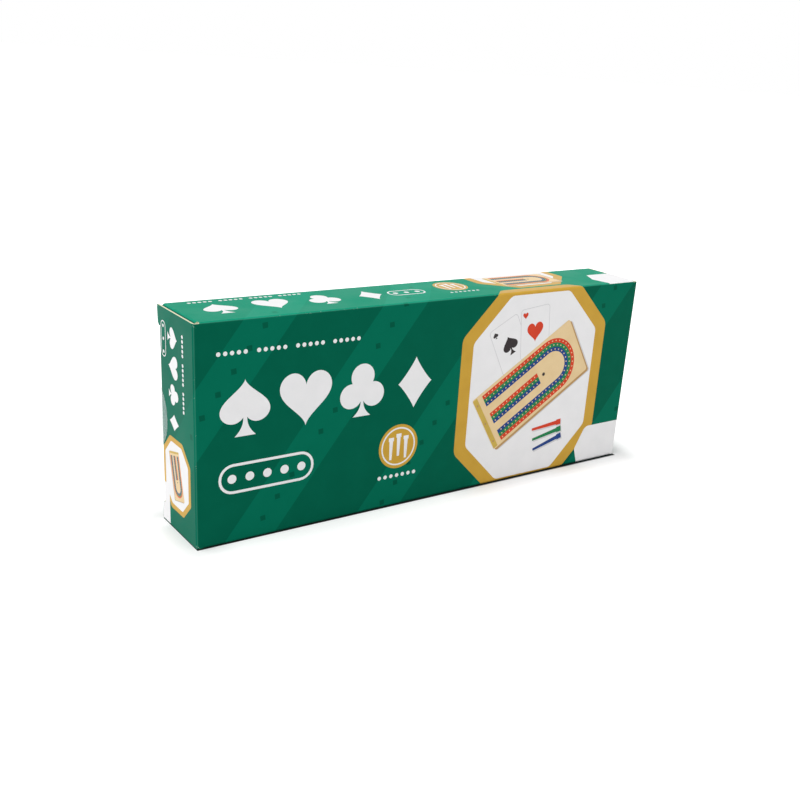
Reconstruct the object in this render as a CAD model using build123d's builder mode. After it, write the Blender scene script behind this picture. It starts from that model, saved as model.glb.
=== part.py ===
from build123d import *
import os
from math import cos, pi, radians, sin, tan

os.makedirs("parts", exist_ok=True)

# A folding cribbage board in its tuck-end carton, in millimetres.
# X runs along the carton, the printed front panel faces -Y, and Z is up from the surface it stands on.
# The origin is under the middle of the carton.

# Carton: its outside sizes follow from what it holds, further down
card = 0.9
fold_radius = 1.4

# End flaps, which hinge on the front panel, with the ears that lock the tuck flaps
ear_length = 9.5
ear_proud = 0.9
ear_flare = 0.6
ear_slant = 1.3
ear_corner = 0.5
slit_width = 0.5

# Tuck flaps, folded in behind the back panel
tuck_length = 12.0
tuck_lean = 12.5
tuck_corner = 5.0

# Dust flaps, folded in from the top and bottom panels
dust_length = 28.0
dust_taper = 33.0
dust_front_step = 0.6
dust_shoulder_gap = 0.5
dust_back_room = 4.2
dust_corner = 3.0

# Glued seam flap, folded up from the bottom panel inside the back panel
seam_height = 16.0
seam_end_taper = 6.0

# Clear wafer seals over the back corners of the end flaps
seal_radius = 19.0
seal_on_end = 8.1
seal_film = 0.12
seal_lift = 0.05

# Clearances in the carton
crease_gap = 0.05
flap_gap = 0.7
edge_inset = 0.4
edge_gap = 0.2
tuck_gap = 0.1
tuck_end_room = 3.3
board_top_room = 1.7

# Pins, pegs, screws and their holes are turned parts, drawn with this many sides
turned_sides = 12

# Folding board: two equal halves that meet at their inner faces
board_length = 240.0
board_width = 104.5
board_floor = 8.5
fold_gap = 0.4
board_corner = 1.2
board_edge_chamfer = 0.6

# Tracks on the outer faces, placed from the board's long edges and its hinge end
lane_pitch = 7.3
front_group_count = 3
back_group_count = 4
small_turn_group_count = 2
long_turn_group_count = 3
finish_group_count = 2
group_pitch = 44.0
hole_pitch = 7.4
hole_radius = 1.6
hole_depth = 6.0
holes_per_group = 5
top_track_from_edge = 15.5
middle_track_off_centre = 1.65
bottom_track_from_edge = 12.6
track_start = 4.5
far_end_margin = 6.0
small_turn_reach = 193.1
finish_hole_at = 103.5
start_block_at = 166.0
start_hole_pitch = 10.5
score_row_at = 142.4
score_row_pitch = 4.6
games_strip_at = 211.9
games_strip_pitch = 9.2
games_strip_rows = 10
games_lane_pitch = 10.4

# Pockets in the inner faces, for the cards and the pegs
pocket_corner = 3.0
card_room_long = 2.1
card_room_wide = 2.5
card_room_thick = 1.0
card_pocket_at = -59.5
peg_pocket_length = 70.0
peg_pocket_width = 35.0
peg_pocket_at = 50.0

# Brass piano hinge across the halves' end faces
leaf_thickness = 1.0
leaf_width = 14.4
leaf_end_gap = 1.0
knuckle_radius = 1.7
pin_radius = 0.8
pin_clearance = 0.05
knuckle_count = 9
knuckle_gap = 0.3
knuckle_relief = 0.3

# Hinge screws, countersunk in the leaves
screw_count = 3
screw_from_edge = 12.0
screw_shank_radius = 1.0
screw_length = 9.0
screw_clearance = 0.05
screw_tip_room = 0.2
screw_slot_width = 0.6
screw_slot_depth = 0.5

# Pegs, three of each colour
peg_length = 36.0
peg_tip_radius = 1.2
peg_neck_radius = 1.7
peg_head_radius = 2.1
peg_head_length = 5.0
peg_gap = 0.2
pegs_per_colour = 3
peg_from_wall = 6.0

# Deck of cards and rules leaflet
deck_length = 88.9
deck_width = 63.5
deck_thickness = 17.2
deck_corner = 3.2
leaflet_length = 140.0
leaflet_under_board_width = 8.5
leaflet_thickness = 0.35
leaflet_gap = 0.225

# The pockets fit the deck, and the carton fits the board
pocket_depth = (deck_thickness + card_room_thick - fold_gap) / 2
card_pocket_length = deck_length + card_room_long
card_pocket_width = deck_width + card_room_wide
half_thickness = pocket_depth + board_floor
peg_spacing = 2 * peg_head_radius + peg_gap
leaflet_height = board_width - leaflet_under_board_width
carton_length = board_length + 2 * (knuckle_radius + tuck_length + tuck_end_room)
carton_depth = 2 * (half_thickness + leaflet_thickness + 2 * leaflet_gap) + fold_gap + 3 * card
carton_height = board_width + board_top_room + 2 * card

# Planes and faces that the pieces share
half_length = carton_length / 2
front_y = -(carton_depth + ear_proud) / 2
back_y = front_y + carton_depth
inner_front_y = front_y + card
inner_back_y = back_y - card
middle_z = carton_height / 2
dust_x = half_length - card - flap_gap
tube_x = dust_x - fold_radius
front_fold_x = half_length - fold_radius
back_edge_x = half_length - card - edge_gap
hinge_line_y = front_y + fold_radius
tuck_y = inner_back_y - tuck_gap
tuck_fold_y = tuck_y - fold_radius

# The board stands on its long edge on the bottom panel, between the front panel and the seam flap
board_y = (inner_front_y + inner_back_y - card) / 2
board_bottom_z = card
board_middle_z = board_bottom_z + board_width / 2
board_end_x = (board_length - 2 * knuckle_radius) / 2
board_far_x = board_end_x - board_length
face_offset = fold_gap / 2 + half_thickness
pin_x = board_end_x + knuckle_radius
track_half_width = 1.5 * lane_pitch
top_track_z = board_width - top_track_from_edge
middle_track_z = board_width / 2 + middle_track_off_centre
bottom_track_z = bottom_track_from_edge
card_pocket_floor = board_middle_z - card_pocket_width / 2
peg_pocket_floor = board_middle_z - peg_pocket_width / 2


def write(piece, name):
    piece.part.label = name
    export_step(piece.part, "parts/" + name + ".step")


def quarter_bend(centre, start_angle):
    # Section of a creased fold: a quarter ring of card
    inner_radius = fold_radius - card
    begin = Vector(cos(radians(start_angle)), sin(radians(start_angle)))
    end = Vector(cos(radians(start_angle + 90)), sin(radians(start_angle + 90)))
    middle = Vector(*centre)
    with BuildSketch() as bend:
        with BuildLine():
            CenterArc(centre, fold_radius, start_angle, 90)
            Line(middle + end * fold_radius, middle + end * inner_radius)
            CenterArc(centre, inner_radius, start_angle, 90)
            Line(middle + begin * inner_radius, middle + begin * fold_radius)
        make_face()
    return bend.sketch


def make_sleeve():
    # Front, top, back and bottom panels, one sheet bent at four rounded folds
    with BuildPart() as sleeve:
        with BuildSketch(Plane.YZ.offset(-tube_x)):
            with Locations(((front_y + back_y) / 2, middle_z)):
                RectangleRounded(carton_depth, carton_height, fold_radius)
                RectangleRounded(
                    carton_depth - 2 * card, carton_height - 2 * card, fold_radius - card, mode=Mode.SUBTRACT
                )
        extrude(amount=2 * tube_x)
        # Seam flap, glued to the inside of the back panel
        with BuildSketch(Plane.XZ.offset(-inner_back_y)):
            with BuildLine():
                Polyline(
                    (-tube_x, card),
                    (tube_x, card),
                    (tube_x - seam_end_taper, seam_height),
                    (-tube_x + seam_end_taper, seam_height),
                    close=True,
                )
            make_face()
        extrude(amount=card)
        for side in (-1, 1):
            # The front panel runs on to the folds that carry the end flaps
            fold_start = 180 if side < 0 else 270
            with BuildSketch(Plane.XY.offset(edge_inset)):
                with Locations((side * (tube_x + front_fold_x) / 2, front_y + card / 2)):
                    Rectangle(front_fold_x - tube_x, card)
                add(quarter_bend((side * front_fold_x, hinge_line_y), fold_start))
            extrude(amount=carton_height - 2 * edge_inset)
            # The back panel ends in a raw edge just inside the ears
            with BuildSketch(Plane.XY.offset(fold_radius)):
                with Locations((side * (tube_x + back_edge_x) / 2, back_y - card / 2)):
                    Rectangle(back_edge_x - tube_x, card)
            extrude(amount=carton_height - 2 * fold_radius)
            # Folds that carry the dust flaps, at the ends of the top and bottom panels
            fold_front_y = hinge_line_y + dust_front_step
            fold_back_y = inner_back_y - dust_shoulder_gap
            for level_z, start in ((carton_height - fold_radius, 90), (fold_radius, 180)):
                start_angle = start if side < 0 else (0 if start == 90 else 270)
                with BuildSketch(Plane.XZ.offset(-fold_back_y)):
                    add(quarter_bend((side * tube_x, level_z), start_angle))
                extrude(amount=fold_back_y - fold_front_y)
    return sleeve


def make_end_flap():
    # Left end flap: a flat panel with an ear at each end of its tuck crease
    low_z = edge_inset
    high_z = carton_height - edge_inset
    ear_y = back_y + ear_proud
    ear_foot_y = ear_y - ear_flare
    with BuildPart() as flap:
        with BuildSketch(Plane.YZ.offset(-half_length)):
            with BuildLine():
                Polyline(
                    (hinge_line_y + crease_gap, low_z),
                    (ear_y, low_z),
                    (ear_foot_y, low_z + ear_length - ear_slant),
                    (ear_foot_y - ear_slant, low_z + ear_length),
                    (tuck_fold_y, low_z + ear_length),
                    (tuck_fold_y, high_z - ear_length),
                    (ear_foot_y - ear_slant, high_z - ear_length),
                    (ear_foot_y, high_z - ear_length + ear_slant),
                    (ear_y, high_z),
                    (hinge_line_y + crease_gap, high_z),
                    close=True,
                )
            sheet = make_face()
            ear_corners = sheet.vertices().group_by(Axis.X)[-1].sort_by(Axis.Y)
            fillet([ear_corners[0], ear_corners[-1]], ear_corner)
        extrude(amount=card)
        with BuildSketch(Plane.XY.offset(low_z + ear_length + slit_width)):
            add(quarter_bend((-front_fold_x, tuck_fold_y), 90))
        extrude(amount=high_z - low_z - 2 * (ear_length + slit_width))
    return flap


def make_tuck_flap():
    # Left tuck flap: leans in from its crease so that it clears the back panel as it swings out
    low_z = edge_inset + ear_length + slit_width
    start = crease_gap + card * tan(radians(tuck_lean))
    reach = (tuck_length - fold_radius) / cos(radians(tuck_lean))
    height = carton_height - 2 * low_z
    lean_plane = Plane(
        origin=(-front_fold_x, tuck_y, middle_z),
        x_dir=(cos(radians(tuck_lean)), -sin(radians(tuck_lean)), 0),
        z_dir=(-sin(radians(tuck_lean)), -cos(radians(tuck_lean)), 0),
    )
    with BuildPart() as flap:
        with BuildSketch(lean_plane):
            with Locations(((reach + start) / 2, 0)):
                sheet = Rectangle(reach - start, height)
            fillet(sheet.vertices().group_by(Axis.X)[-1], tuck_corner)
        extrude(amount=card)
    return flap


def make_dust_flap(top):
    # Left dust flap, tapered at the front to clear the end flap and stepped at the back for the tuck flap
    hang = dust_length - fold_radius
    narrow_s = ear_length + slit_width - fold_radius
    front_edge = hinge_line_y + dust_front_step
    back_edge = inner_back_y - dust_shoulder_gap
    tucked_back = inner_back_y - dust_back_room
    tapered_front = front_edge + hang * tan(radians(dust_taper))
    outline = (
        (front_edge, crease_gap),
        (back_edge, crease_gap),
        (back_edge, narrow_s - (back_edge - tucked_back)),
        (tucked_back, narrow_s),
        (tucked_back, hang),
        (tapered_front, hang),
    )
    crease_z = carton_height - fold_radius if top else fold_radius
    down = -1 if top else 1
    with BuildPart() as flap:
        with BuildSketch(Plane.YZ.offset(-dust_x)):
            with BuildLine():
                Polyline(*[(y, crease_z + down * s) for y, s in outline], close=True)
            make_face()
        extrude(amount=card)
        free_end = flap.edges().filter_by(Axis.X).group_by(Axis.Z)[0 if top else -1]
        fillet(free_end, dust_corner)
    return flap


def make_seal_end():
    # Left seal's part on the end flap: the segment of the round film in front of the back corner
    past_corner = seal_radius - seal_on_end
    with BuildPart() as film:
        with BuildSketch(Plane.YZ.offset(-half_length - seal_lift - seal_film)):
            with Locations((back_y + past_corner, middle_z)):
                Circle(seal_radius)
            with Locations((back_y + seal_lift + seal_film, middle_z)):
                Rectangle(
                    2 * seal_radius, 2 * seal_radius, align=(Align.MIN, Align.CENTER), mode=Mode.SUBTRACT
                )
        extrude(amount=seal_film)
    return film


def make_seal_back():
    # Left seal's part on the back panel, slit from the other along the corner when the flap opens
    past_corner = seal_radius - seal_on_end
    with BuildPart() as film:
        with BuildSketch(Plane.XZ.offset(-back_y - seal_lift)):
            with Locations((-half_length + past_corner, middle_z)):
                Circle(seal_radius)
            with Locations((-half_length - seal_lift, middle_z)):
                Rectangle(
                    2 * seal_radius, 2 * seal_radius, align=(Align.MAX, Align.CENTER), mode=Mode.SUBTRACT
                )
        extrude(amount=-seal_film)
    return film


def group_offsets():
    # Places of one group's holes, about the group's middle
    return [(i - (holes_per_group - 1) / 2) * hole_pitch for i in range(holes_per_group)]


def straight_lane(groups, height):
    places = []
    for group in range(groups):
        middle = track_start + group_pitch * (group + 0.5)
        places += [(middle + offset, height) for offset in group_offsets()]
    return places


def turn_lane(straight_from, centre_at, centre_height, radius, groups):
    # Holes round a turn: a short straight, a half circle and the straight back, shared out evenly
    straight = centre_at - straight_from
    path = 2 * straight + pi * radius
    places = []
    for group in range(groups):
        for offset in group_offsets():
            travelled = path * (group + 0.5 + offset / group_pitch) / groups
            if travelled < straight:
                places.append((straight_from + travelled, centre_height + radius))
            elif travelled < straight + pi * radius:
                turned = (travelled - straight) / radius
                places.append((centre_at + radius * sin(turned), centre_height + radius * cos(turned)))
            else:
                places.append((centre_at - (travelled - straight - pi * radius), centre_height - radius))
    return places


def front_track_holes():
    # Distances from the hinge end and heights on the board of the front half's holes
    places = []
    turn_height = (middle_track_z + bottom_track_z) / 2
    turn_radius = (middle_track_z - bottom_track_z) / 2
    turn_centre = small_turn_reach - turn_radius - track_half_width
    arm_end = track_start + front_group_count * group_pitch
    for lane in (-1, 0, 1):
        shift = lane * lane_pitch
        places += straight_lane(front_group_count, top_track_z + shift)
        places += straight_lane(front_group_count, middle_track_z + shift)
        places += straight_lane(front_group_count, bottom_track_z + shift)
        places += turn_lane(arm_end, turn_centre, turn_height, turn_radius + shift, small_turn_group_count)
        # Start holes, beside the first group of the top track
        places += [(start_block_at + i * start_hole_pitch, top_track_z + shift) for i in (-1, 0, 1)]
        # Games strip across the far end
        for row in range(games_strip_rows):
            row_height = board_width / 2 + (row - (games_strip_rows - 1) / 2) * games_strip_pitch
            places.append((games_strip_at + lane * games_lane_pitch, row_height))
    places += [(score_row_at, top_track_z + i * score_row_pitch) for i in (-2, -1, 0, 1, 2)]
    return places


def back_track_holes():
    # The same for the back half, which carries the long turn and the finish
    places = []
    turn_height = (top_track_z + bottom_track_z) / 2
    turn_radius = (top_track_z - bottom_track_z) / 2
    turn_centre = board_length - far_end_margin - turn_radius - track_half_width
    arm_end = track_start + back_group_count * group_pitch
    for lane in (-1, 0, 1):
        shift = lane * lane_pitch
        places += straight_lane(back_group_count, top_track_z + shift)
        places += straight_lane(back_group_count, bottom_track_z + shift)
        places += straight_lane(finish_group_count, middle_track_z + shift)
        places += turn_lane(arm_end, turn_centre, turn_height, turn_radius + shift, long_turn_group_count)
    places.append((finish_hole_at, middle_track_z))
    return places


def screw_places():
    first_z = board_bottom_z + screw_from_edge
    last_z = board_bottom_z + board_width - screw_from_edge
    return [first_z + i * (last_z - first_z) / (screw_count - 1) for i in range(screw_count)]


def leaf_middle_y(facing):
    return board_y + facing * (fold_gap / 2 + knuckle_radius + knuckle_relief + leaf_width) / 2


def make_board_half(facing, track_holes):
    # facing is -1 for the front half and 1 for the back half
    outer_plane = Plane.XZ.offset(-board_y - facing * face_offset)
    inner_plane = Plane.XZ.offset(-board_y - facing * fold_gap / 2)
    board_middle_x = (board_end_x + board_far_x) / 2
    with BuildPart() as well:
        # Six-sided tapered well, the shape of one peg hole
        with BuildSketch(Plane.XZ) as mouth:
            RegularPolygon(hole_radius, 6)
        loft(sections=[mouth.sketch.faces()[0], Vertex(0, -facing * hole_depth, 0)])
    with BuildPart() as half:
        with BuildSketch(outer_plane):
            with Locations((board_middle_x, board_middle_z)):
                RectangleRounded(board_length, board_width, board_corner)
        extrude(amount=facing * half_thickness)
        outer_face = half.faces().filter_by(Axis.Y).sort_by(Axis.Y)[0 if facing < 0 else -1]
        chamfer(outer_face.edges(), board_edge_chamfer)
        with BuildSketch(inner_plane):
            with Locations((card_pocket_at, board_middle_z)):
                RectangleRounded(card_pocket_length, card_pocket_width, pocket_corner)
            with Locations((peg_pocket_at, board_middle_z)):
                RectangleRounded(peg_pocket_length, peg_pocket_width, pocket_corner)
        extrude(amount=-facing * pocket_depth, mode=Mode.SUBTRACT)
        with BuildSketch(Plane.YZ.offset(board_end_x)):
            with Locations(*[(leaf_middle_y(facing), z) for z in screw_places()]):
                RegularPolygon(screw_shank_radius + screw_clearance, turned_sides)
        extrude(amount=-screw_length, mode=Mode.SUBTRACT)
        face_y = board_y + facing * face_offset
        with Locations(*[(board_end_x - u, face_y, board_bottom_z + v) for u, v in track_holes]):
            add(well.part, mode=Mode.SUBTRACT)
    return half


def make_spike(radius, length):
    # Tapered spike with its base at the origin and its point towards -X
    with BuildPart() as spike:
        with BuildSketch(Plane.YZ) as base:
            RegularPolygon(radius, turned_sides)
        loft(sections=[base.sketch.faces()[0], Vertex(-length, 0, 0)])
    return spike.part


def make_hinge_leaf(facing):
    # facing is -1 for the leaf on the front half, which has the outer knuckles
    first_z = board_bottom_z + leaf_end_gap
    pitch = (board_width - 2 * leaf_end_gap) / knuckle_count
    plate_start = board_y + facing * (fold_gap / 2 + knuckle_radius + knuckle_relief)
    plate_end = board_y + facing * leaf_width
    own_first = 0 if facing < 0 else 1
    with BuildPart() as leaf:
        with BuildSketch(Plane.XY.offset(first_z)):
            with Locations((board_end_x + leaf_thickness / 2, (plate_start + plate_end) / 2)):
                Rectangle(leaf_thickness, abs(plate_end - plate_start))
        extrude(amount=board_width - 2 * leaf_end_gap)
        for knuckle in range(own_first, knuckle_count, 2):
            with BuildSketch(Plane.XY.offset(first_z + knuckle * pitch + knuckle_gap / 2)):
                with Locations((board_end_x + leaf_thickness / 2, (board_y + plate_start) / 2)):
                    Rectangle(leaf_thickness, abs(plate_start - board_y))
                with Locations((pin_x, board_y)):
                    RegularPolygon(knuckle_radius, turned_sides)
                    RegularPolygon(pin_radius + pin_clearance, turned_sides, mode=Mode.SUBTRACT)
            extrude(amount=pitch - knuckle_gap)
        # Countersunk screw holes, which widen at 45 degrees over the leaf's thickness
        mouth_radius = screw_shank_radius + screw_clearance + leaf_thickness
        with Locations(*[(board_end_x + leaf_thickness, leaf_middle_y(facing), z) for z in screw_places()]):
            add(make_spike(mouth_radius, mouth_radius), mode=Mode.SUBTRACT)
    return leaf


def make_hinge_pin():
    with BuildPart() as pin:
        with BuildSketch(Plane.XY.offset(board_bottom_z + leaf_end_gap)):
            with Locations((pin_x, board_y)):
                RegularPolygon(pin_radius, turned_sides)
        extrude(amount=board_width - 2 * leaf_end_gap)
    return pin


def make_screws(facing):
    # Slotted countersunk screws whose heads lie flush in the leaf
    head_x = board_end_x + leaf_thickness
    shank_radius = screw_shank_radius - screw_clearance
    head_radius = shank_radius + leaf_thickness
    shank_length = screw_length - screw_tip_room - screw_shank_radius
    axis_y = leaf_middle_y(facing)
    with BuildPart() as screws:
        with Locations(*[(head_x, axis_y, z) for z in screw_places()]):
            add(make_spike(head_radius, head_radius))
        with BuildSketch(Plane.YZ.offset(board_end_x)):
            with Locations(*[(axis_y, z) for z in screw_places()]):
                RegularPolygon(shank_radius, turned_sides)
        extrude(amount=-shank_length)
        with Locations(*[(board_end_x - shank_length, axis_y, z) for z in screw_places()]):
            add(make_spike(shank_radius, screw_shank_radius))
        with BuildSketch(Plane.YZ.offset(head_x)):
            with Locations(*[(axis_y, z) for z in screw_places()]):
                Rectangle(2 * head_radius, screw_slot_width)
        extrude(amount=-screw_slot_depth, mode=Mode.SUBTRACT)
    return screws


def make_pegs(layer):
    # Three tapered pegs lying side by side in the peg pocket, on the layers below them
    start_x = peg_pocket_at - peg_pocket_length / 2 + peg_from_wall
    taper_length = peg_length - peg_head_length
    neck_x = start_x + taper_length
    axis_z = peg_pocket_floor + peg_head_radius + layer * peg_spacing
    axes_y = [board_y + (i - (pegs_per_colour - 1) / 2) * peg_spacing for i in range(pegs_per_colour)]
    with BuildPart() as pegs:
        # Each shank is a long spike cut off at the tip's radius
        spike_length = taper_length * peg_neck_radius / (peg_neck_radius - peg_tip_radius)
        with Locations(*[(neck_x, y, axis_z) for y in axes_y]):
            add(make_spike(peg_neck_radius, spike_length))
        split(bisect_by=Plane.YZ.offset(start_x), keep=Keep.TOP)
        with BuildSketch(Plane.YZ.offset(neck_x)):
            with Locations(*[(y, axis_z) for y in axes_y]):
                RegularPolygon(peg_head_radius, turned_sides)
        extrude(amount=peg_head_length)
    return pegs


def make_deck():
    # The stack stands on the lower wall of the card pocket, half in each half of the board
    with BuildPart() as deck:
        with BuildSketch(Plane.XZ.offset(-board_y - deck_thickness / 2)):
            with Locations((card_pocket_at, card_pocket_floor + deck_width / 2)):
                RectangleRounded(deck_length, deck_width, deck_corner)
        extrude(amount=deck_thickness)
    return deck


def make_leaflet():
    # Folded rules leaflet, standing between the front panel and the board
    with BuildPart() as leaflet:
        with BuildSketch(Plane.XZ.offset(-inner_front_y - leaflet_gap - leaflet_thickness)):
            with Locations((0, fold_radius)):
                Rectangle(leaflet_length, leaflet_height, align=(Align.CENTER, Align.MIN))
        extrude(amount=leaflet_thickness)
    return leaflet


def write_both_ends(left_piece, name):
    # Each piece of the left end has a mirror image at the right end
    write(left_piece, "left_" + name)
    with BuildPart() as right_piece:
        mirror(left_piece.part, about=Plane.YZ)
    write(right_piece, "right_" + name)


write(make_sleeve(), "carton_sleeve")
write_both_ends(make_end_flap(), "end_flap")
write_both_ends(make_tuck_flap(), "tuck_flap")
write_both_ends(make_dust_flap(True), "top_dust_flap")
write_both_ends(make_dust_flap(False), "bottom_dust_flap")
write_both_ends(make_seal_end(), "seal_end_part")
write_both_ends(make_seal_back(), "seal_back_part")
write(make_board_half(-1, front_track_holes()), "front_board_half")
write(make_board_half(1, back_track_holes()), "back_board_half")
for facing, place in ((-1, "front"), (1, "back")):
    write(make_hinge_leaf(facing), place + "_hinge_leaf")
    write(make_screws(facing), place + "_leaf_screws")
write(make_hinge_pin(), "hinge_pin")
for layer, colour in enumerate(("red", "green", "blue")):
    write(make_pegs(layer), colour + "_pegs")
write(make_deck(), "card_deck")
write(make_leaflet(), "rules_leaflet")
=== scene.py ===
import bpy
import bmesh
import math
from mathutils import Matrix, Vector
from mathutils.geometry import tessellate_polygon


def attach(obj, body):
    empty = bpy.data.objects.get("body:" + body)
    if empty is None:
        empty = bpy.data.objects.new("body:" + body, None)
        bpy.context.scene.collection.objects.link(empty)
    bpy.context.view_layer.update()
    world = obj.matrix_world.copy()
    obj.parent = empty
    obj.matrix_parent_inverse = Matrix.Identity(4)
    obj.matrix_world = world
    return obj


# Folding cribbage board in a printed tuck-end carton.
# Sizes below are in millimetres unless a note says otherwise; mm turns them into metres.

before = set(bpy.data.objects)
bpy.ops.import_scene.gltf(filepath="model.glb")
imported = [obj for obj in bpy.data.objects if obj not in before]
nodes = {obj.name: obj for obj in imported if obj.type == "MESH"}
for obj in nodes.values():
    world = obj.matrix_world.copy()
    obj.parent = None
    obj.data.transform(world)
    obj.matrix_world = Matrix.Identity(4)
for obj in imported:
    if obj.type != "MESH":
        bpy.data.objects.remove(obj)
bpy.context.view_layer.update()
mm = 0.001

carton = {
    "halfLength": 137.0,
    "frontY": -20.2,
    "backY": 19.3,
    "height": 108.0,
    "foldRadius": 1.4,
    "tubeX": 134.0,  # the sleeve's square tube ends here and its end folds begin
    "tuckPlane": 18.3,  # outer face of the tuck flaps' creases
    "earReach": 9.9,  # the ears lie above and below this distance from the top and bottom
    "tuckLean": 12.5,
}
half, front, back, top = (carton[plane] for plane in ("halfLength", "frontY", "backY", "height"))
middleY = (front + back) / 2
middleZ = top / 2
depth = back - front


def srgb(red, green, blue):
    # screen colour, 0 to 255, to the linear colour that the shaders use
    linear = []
    for value in (red, green, blue):
        part = value / 255
        linear.append(part / 12.92 if part <= 0.04045 else ((part + 0.055) / 1.055) ** 2.4)
    return (*linear, 1.0)


def addObject(name, data):
    thing = bpy.data.objects.new(name, data)
    bpy.context.scene.collection.objects.link(thing)
    return thing


def addMesh(name, build, material):
    mesh = bpy.data.meshes.new(name)
    build.to_mesh(mesh)
    build.free()
    mesh.materials.append(material)
    return addObject(name, mesh)


# node helpers, used by every material below

def newMaterial(name):
    # also gives its shader, and the point in millimetres in the piece's own frame, where nothing slides
    material = bpy.data.materials.new(name)
    material.use_nodes = True
    shader = material.node_tree.nodes["Principled BSDF"]
    where = stretched(newNode(shader, "TexCoord", {})["Object"], (1 / mm, 1 / mm, 1 / mm))
    return material, shader, where


def isOutput(value):
    return isinstance(value, bpy.types.NodeSocket)


def plug(node, inputs):
    # an input that is given another node's output is linked to it, a number or colour is set on it
    for name, value in inputs.items():
        if isOutput(value):
            node.id_data.links.new(value, node.inputs[name])
        else:
            node.inputs[name].default_value = value


def newNode(beside, kind, inputs, **settings):
    # goes in the same tree as the given node or output, and gives back its own outputs
    node = beside.id_data.nodes.new("ShaderNode" + kind)
    for setting, value in settings.items():
        setattr(node, setting, value)
    plug(node, inputs)
    return node.outputs


def calc(operation, *values):
    beside = next(filter(isOutput, values))
    return newNode(beside, "Math", dict(enumerate(values)), operation=operation)[0]


def plus(first, second):
    return calc("ADD", first, second)


def minus(first, second):
    return calc("SUBTRACT", first, second)


def times(first, second):
    return calc("MULTIPLY", first, second)


def size(value):
    return calc("ABSOLUTE", value)


def step(value, low, high):
    # 0 before low, 1 past high, smooth between
    inputs = {"Value": value, "From Min": low, "From Max": high}
    return newNode(value, "MapRange", inputs, interpolation_type="SMOOTHSTEP")[0]


def below(value, limit, soft=0.05):
    # 1 where the value is under the limit
    return step(value, limit + soft, limit - soft)


def mixColour(share, first, second):
    inputs = {"Factor": share, "A": first, "B": second}
    return newNode(share, "Mix", inputs, data_type="RGBA")["Result"]


def vectorCalc(operation, vector, amounts):
    return newNode(vector, "VectorMath", {0: vector, 1: amounts}, operation=operation)[0]


def stretched(vector, stretch):
    return vectorCalc("MULTIPLY", vector, stretch)


def splitPoint(vector):
    return newNode(vector, "SeparateXYZ", {0: vector})[:]


def facedWay(shader):
    # the parts along x, y and z of the direction that the surface faces, in the piece's own frame
    return splitPoint(newNode(shader, "TexCoord", {})["Normal"])


def facesAlong(part, low=0.85, high=0.95):
    # 1 where the surface faces up or down the axis that this part of its direction is along
    return step(size(part), low, high)


def lengthOf(first, second):
    return calc("SQRT", plus(times(first, first), times(second, second)))


def noise(point, blotch, detail=2.0, roughness=0.5):
    # blotch is the rough width of one patch, in millimetres
    inputs = {"Vector": point, "Scale": 1.0 / blotch, "Detail": detail, "Roughness": roughness}
    return newNode(point, "TexNoise", inputs)["Fac"]


def bump(shader, height, strength, distance):
    # distance in millimetres
    inputs = {"Strength": strength, "Distance": distance * mm, "Height": height}
    plug(shader, {"Normal": newNode(height, "Bump", inputs)[0]})


def colourIn(shader, colour):
    plug(shader, {"Base Color": colour})


def cardRelief(shader, where, tooth):
    # paper tooth, and the slight waves of a filled carton
    bump(shader, plus(tooth, times(noise(where, 60.0, 1.0), 0.9)), 0.6, 1.0)


def roughen(shader, low, high, pattern):
    # roughness between low and high, by a pattern from 0 to 1
    plug(shader, {"Roughness": plus(low, times(pattern, high - low))})


def dress(node, material):
    # every face of a CAD node takes the one material
    slots = nodes[node].data.materials
    if len(slots) == 0:
        slots.append(material)
    for place in range(len(slots)):
        slots[place] = material


# printed card

cardLook = {
    "tonesWithPaintedLight": (  # ground, band and lozenge: on the front, back and bottom, on the ends, and on the top; the ends' and the top's copies are lighter as painted light, since more light falls on them
        (srgb(0, 91, 69), srgb(1, 105, 81), srgb(0, 84, 63)),
        (srgb(0, 103, 81), srgb(2, 109, 86), srgb(0, 95, 74)),
        (srgb(14, 143, 112), srgb(20, 149, 118), srgb(10, 134, 104)),
    ),
    "mottle": srgb(12, 120, 94),
    "mottleShare": 0.08,
    "rawEdge": (srgb(216, 212, 178), srgb(232, 230, 204)),
    "inside": (srgb(172, 160, 142), srgb(186, 176, 158)),
    "insideFleck": srgb(138, 124, 106),
    "bleedWhite": srgb(226, 224, 218),
    # a painted highlight: lighter green along every fold
    "foldHighlightPainted": srgb(120, 196, 172),
    "foldHighlightPaintedShare": 0.16,
    "wornFold": srgb(206, 224, 210),
    "bandAngle": 52.0,
    "bandPitch": 58.0,
    "bandWidth": 21.0,
    "motifPitch": 12.5,
    "motifSize": 1.9,
    "sleeveGloss": 0.02,
    "flapGloss": 0.038,
    "roughness": 0.38,
    "sheen": 0.10,
    "dryness": 0.45,  # how much rougher the unprinted sides are
    "bleed": 9.0,  # the print runs this far over a tuck or dust flap
}


def sheetPlace(point, normal):
    # where a point lies on the flat sheet: along the carton, and round it from the front panel's foot
    x, y, z = point
    nx, ny, nz = normal
    isTop = step(nz, 0.60, 0.80)
    isBottom = step(times(nz, -1.0), 0.60, 0.80)
    isBack = step(ny, 0.60, 0.80)
    isEnd = facesAlong(nx, 0.60, 0.80)
    fromFront = minus(y, front)
    topShift = minus(plus(fromFront, top), z)
    bottomShift = times(plus(fromFront, z), -1.0)
    backShift = minus(2 * top + depth, times(z, 2.0))
    girth = z
    for isHere, shift in ((isTop, topShift), (isBottom, bottomShift), (isBack, backShift)):
        girth = calc("MULTIPLY_ADD", isHere, shift, girth)
    past = times(calc("SIGN", x), plus(fromFront, half))
    along = calc("MULTIPLY_ADD", isEnd, minus(past, x), x)
    # the top's lighter, painted-light tone ends just past the tube, so the dust fold's rounded edge beside
    # the end flap keeps a darker tone: painted shade in the gap there
    onTube = below(size(x), carton["tubeX"] + 1.5, 0.2)
    return along, girth, times(isTop, onTube), isEnd


def fromMiddle(value, pitch):
    # distance from the middle of the nearest repeat
    return size(minus(calc("WRAP", value, pitch, 0.0), pitch / 2))


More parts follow.
